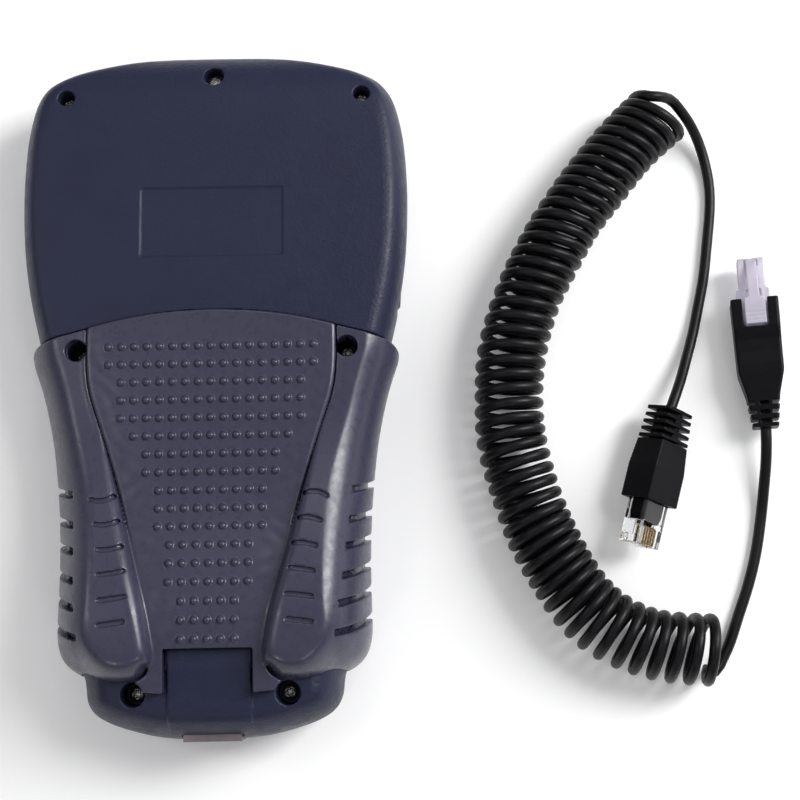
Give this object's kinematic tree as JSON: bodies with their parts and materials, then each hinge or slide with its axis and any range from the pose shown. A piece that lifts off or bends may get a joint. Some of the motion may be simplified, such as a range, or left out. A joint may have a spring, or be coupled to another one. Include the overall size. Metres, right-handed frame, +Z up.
{
  "type": "hand microphone",
  "caption": "Wide-head hand microphone lying face down: keypad and display in front, soft two-lobed grip on the back, modular jack at the foot, detached coiled cord with two modular plugs.",
  "frame": {"origin": "middle of the handset's footprint, on the surface it lies on (its free cord left out)", "axes": "+Y towards the head's far end, +X towards the push-to-talk side, +Z up out of the handset's back"},
  "size_m": [0.2153, 0.1916, 0.0393],
  "materials": {
    "case": "fine spark-eroded texture, satin",
    "grip": "smooth soft-touch, satin",
    "clear": "clear, polished",
    "dark": "satin",
    "display": "polished",
    "diffuser": "matte",
    "ribbon": "flexible, satin",
    "board": "solder mask, satin",
    "chip": "matte",
    "steel": "plated",
    "soft": "matte",
    "contacts": "gold plated",
    "cord": "satin jacket",
    "keys": "matte",
    "screw": "bright nickel",
    "plug_clear": "clear, polished",
    "plug_frosted": "translucent, frosted"
  },
  "bodies": {
    "handset": {"rear_case": "case", "front_case": "case", "grip_cover": "grip", "display_window": "clear", "display_frame": "dark", "display_glass": "display", "display_backlight": "diffuser", "display_ribbon": "ribbon", "main_board": "board", "controller_chip": "chip", "audio_chip": "chip", "board_screw_left": "steel", "board_screw_right": "steel", "mic_capsule": "steel", "mic_boot": "soft", "ptt_switch": "dark", "jack_shield": "steel", "jack_insert": "dark", "jack_contacts": "contacts", "cord_coil": "cord", "cord_lead_a": "cord", "cord_lead_b": "cord", "keypad_mat": "soft", "plug_a_boot": "cord", "plug_a_body": "plug_clear", "plug_a_contacts": "contacts", "plug_b_boot": "cord", "plug_b_body": "plug_frosted", "plug_b_contacts": "contacts", "case_screw_top_centre": "screw", "case_screw_top_left": "screw", "case_screw_top_right": "screw", "case_screw_middle_left": "screw", "case_screw_middle_right": "screw", "case_screw_lower_left": "screw", "case_screw_lower_right": "screw"},
    "key_1": {"key_1": "keys"},
    "key_2": {"key_2": "keys"},
    "key_3": {"key_3": "keys"},
    "key_a": {"key_a": "keys"},
    "key_4": {"key_4": "keys"},
    "key_5": {"key_5": "keys"},
    "key_6": {"key_6": "keys"},
    "key_b": {"key_b": "keys"},
    "key_7": {"key_7": "keys"},
    "key_8": {"key_8": "keys"},
    "key_9": {"key_9": "keys"},
    "key_c": {"key_c": "keys"},
    "key_star": {"key_star": "keys"},
    "key_0": {"key_0": "keys"},
    "key_hash": {"key_hash": "keys"},
    "key_d": {"key_d": "keys"},
    "key_f1": {"key_f1": "keys"},
    "key_f2": {"key_f2": "keys"},
    "key_f3": {"key_f3": "keys"},
    "key_f4": {"key_f4": "keys"},
    "ptt_bar": {"ptt_bar": "soft"},
    "plug_a_latch": {"plug_a_latch": "plug_clear"},
    "plug_b_latch": {"plug_b_latch": "plug_frosted"}
  },
  "joints": [
    {"name": "key_1_press", "type": "slide", "parent": "handset", "child": "key_1", "axis": [0, 0, 1], "range_m": [0, 0.0009], "stiffness_N_per_m": 600, "springref_m": -0.0008},
    {"name": "key_2_press", "type": "slide", "parent": "handset", "child": "key_2", "axis": [0, 0, 1], "range_m": [0, 0.0009], "stiffness_N_per_m": 600, "springref_m": -0.0008},
    {"name": "key_3_press", "type": "slide", "parent": "handset", "child": "key_3", "axis": [0, 0, 1], "range_m": [0, 0.0009], "stiffness_N_per_m": 600, "springref_m": -0.0008},
    {"name": "key_a_press", "type": "slide", "parent": "handset", "child": "key_a", "axis": [0, 0, 1], "range_m": [0, 0.0009], "stiffness_N_per_m": 600, "springref_m": -0.0008},
    {"name": "key_4_press", "type": "slide", "parent": "handset", "child": "key_4", "axis": [0, 0, 1], "range_m": [0, 0.0009], "stiffness_N_per_m": 600, "springref_m": -0.0008},
    {"name": "key_5_press", "type": "slide", "parent": "handset", "child": "key_5", "axis": [0, 0, 1], "range_m": [0, 0.0009], "stiffness_N_per_m": 600, "springref_m": -0.0008},
    {"name": "key_6_press", "type": "slide", "parent": "handset", "child": "key_6", "axis": [0, 0, 1], "range_m": [0, 0.0009], "stiffness_N_per_m": 600, "springref_m": -0.0008},
    {"name": "key_b_press", "type": "slide", "parent": "handset", "child": "key_b", "axis": [0, 0, 1], "range_m": [0, 0.0009], "stiffness_N_per_m": 600, "springref_m": -0.0008},
    {"name": "key_7_press", "type": "slide", "parent": "handset", "child": "key_7", "axis": [0, 0, 1], "range_m": [0, 0.0009], "stiffness_N_per_m": 600, "springref_m": -0.0008},
    {"name": "key_8_press", "type": "slide", "parent": "handset", "child": "key_8", "axis": [0, 0, 1], "range_m": [0, 0.0009], "stiffness_N_per_m": 600, "springref_m": -0.0008},
    {"name": "key_9_press", "type": "slide", "parent": "handset", "child": "key_9", "axis": [0, 0, 1], "range_m": [0, 0.0009], "stiffness_N_per_m": 600, "springref_m": -0.0008},
    {"name": "key_c_press", "type": "slide", "parent": "handset", "child": "key_c", "axis": [0, 0, 1], "range_m": [0, 0.0009], "stiffness_N_per_m": 600, "springref_m": -0.0008},
    {"name": "key_star_press", "type": "slide", "parent": "handset", "child": "key_star", "axis": [0, 0, 1], "range_m": [0, 0.0009], "stiffness_N_per_m": 600, "springref_m": -0.0008},
    {"name": "key_0_press", "type": "slide", "parent": "handset", "child": "key_0", "axis": [0, 0, 1], "range_m": [0, 0.0009], "stiffness_N_per_m": 600, "springref_m": -0.0008},
    {"name": "key_hash_press", "type": "slide", "parent": "handset", "child": "key_hash", "axis": [0, 0, 1], "range_m": [0, 0.0009], "stiffness_N_per_m": 600, "springref_m": -0.0008},
    {"name": "key_d_press", "type": "slide", "parent": "handset", "child": "key_d", "axis": [0, 0, 1], "range_m": [0, 0.0009], "stiffness_N_per_m": 600, "springref_m": -0.0008},
    {"name": "key_f1_press", "type": "slide", "parent": "handset", "child": "key_f1", "axis": [0, 0, 1], "range_m": [0, 0.0009], "stiffness_N_per_m": 600, "springref_m": -0.0008},
    {"name": "key_f2_press", "type": "slide", "parent": "handset", "child": "key_f2", "axis": [0, 0, 1], "range_m": [0, 0.0009], "stiffness_N_per_m": 600, "springref_m": -0.0008},
    {"name": "key_f3_press", "type": "slide", "parent": "handset", "child": "key_f3", "axis": [0, 0, 1], "range_m": [0, 0.0009], "stiffness_N_per_m": 600, "springref_m": -0.0008},
    {"name": "key_f4_press", "type": "slide", "parent": "handset", "child": "key_f4", "axis": [0, 0, 1], "range_m": [0, 0.0009], "stiffness_N_per_m": 600, "springref_m": -0.0008},
    {"name": "ptt_press", "type": "slide", "parent": "handset", "child": "ptt_bar", "axis": [-0.9973, 0.0732, 0], "range_m": [0, 0.001], "stiffness_N_per_m": 1500, "springref_m": -0.001},
    {"name": "plug_a_latch_flex", "type": "hinge", "parent": "handset", "child": "plug_a_latch", "pos_m": [0.11537, -0.04396, 0.00628], "axis": [0.7364, -0.2111, -0.6428], "range_deg": [0, 3.5], "stiffness_Nm_per_rad": 0.3, "springref_deg": -1.72},
    {"name": "plug_b_latch_flex", "type": "hinge", "parent": "handset", "child": "plug_b_latch", "pos_m": [0.1526, 0.03465, 0.00929], "axis": [0.9776, 0.0324, 0.2079], "range_deg": [0, 3.5], "stiffness_Nm_per_rad": 0.3, "springref_deg": -1.72}
  ]
}
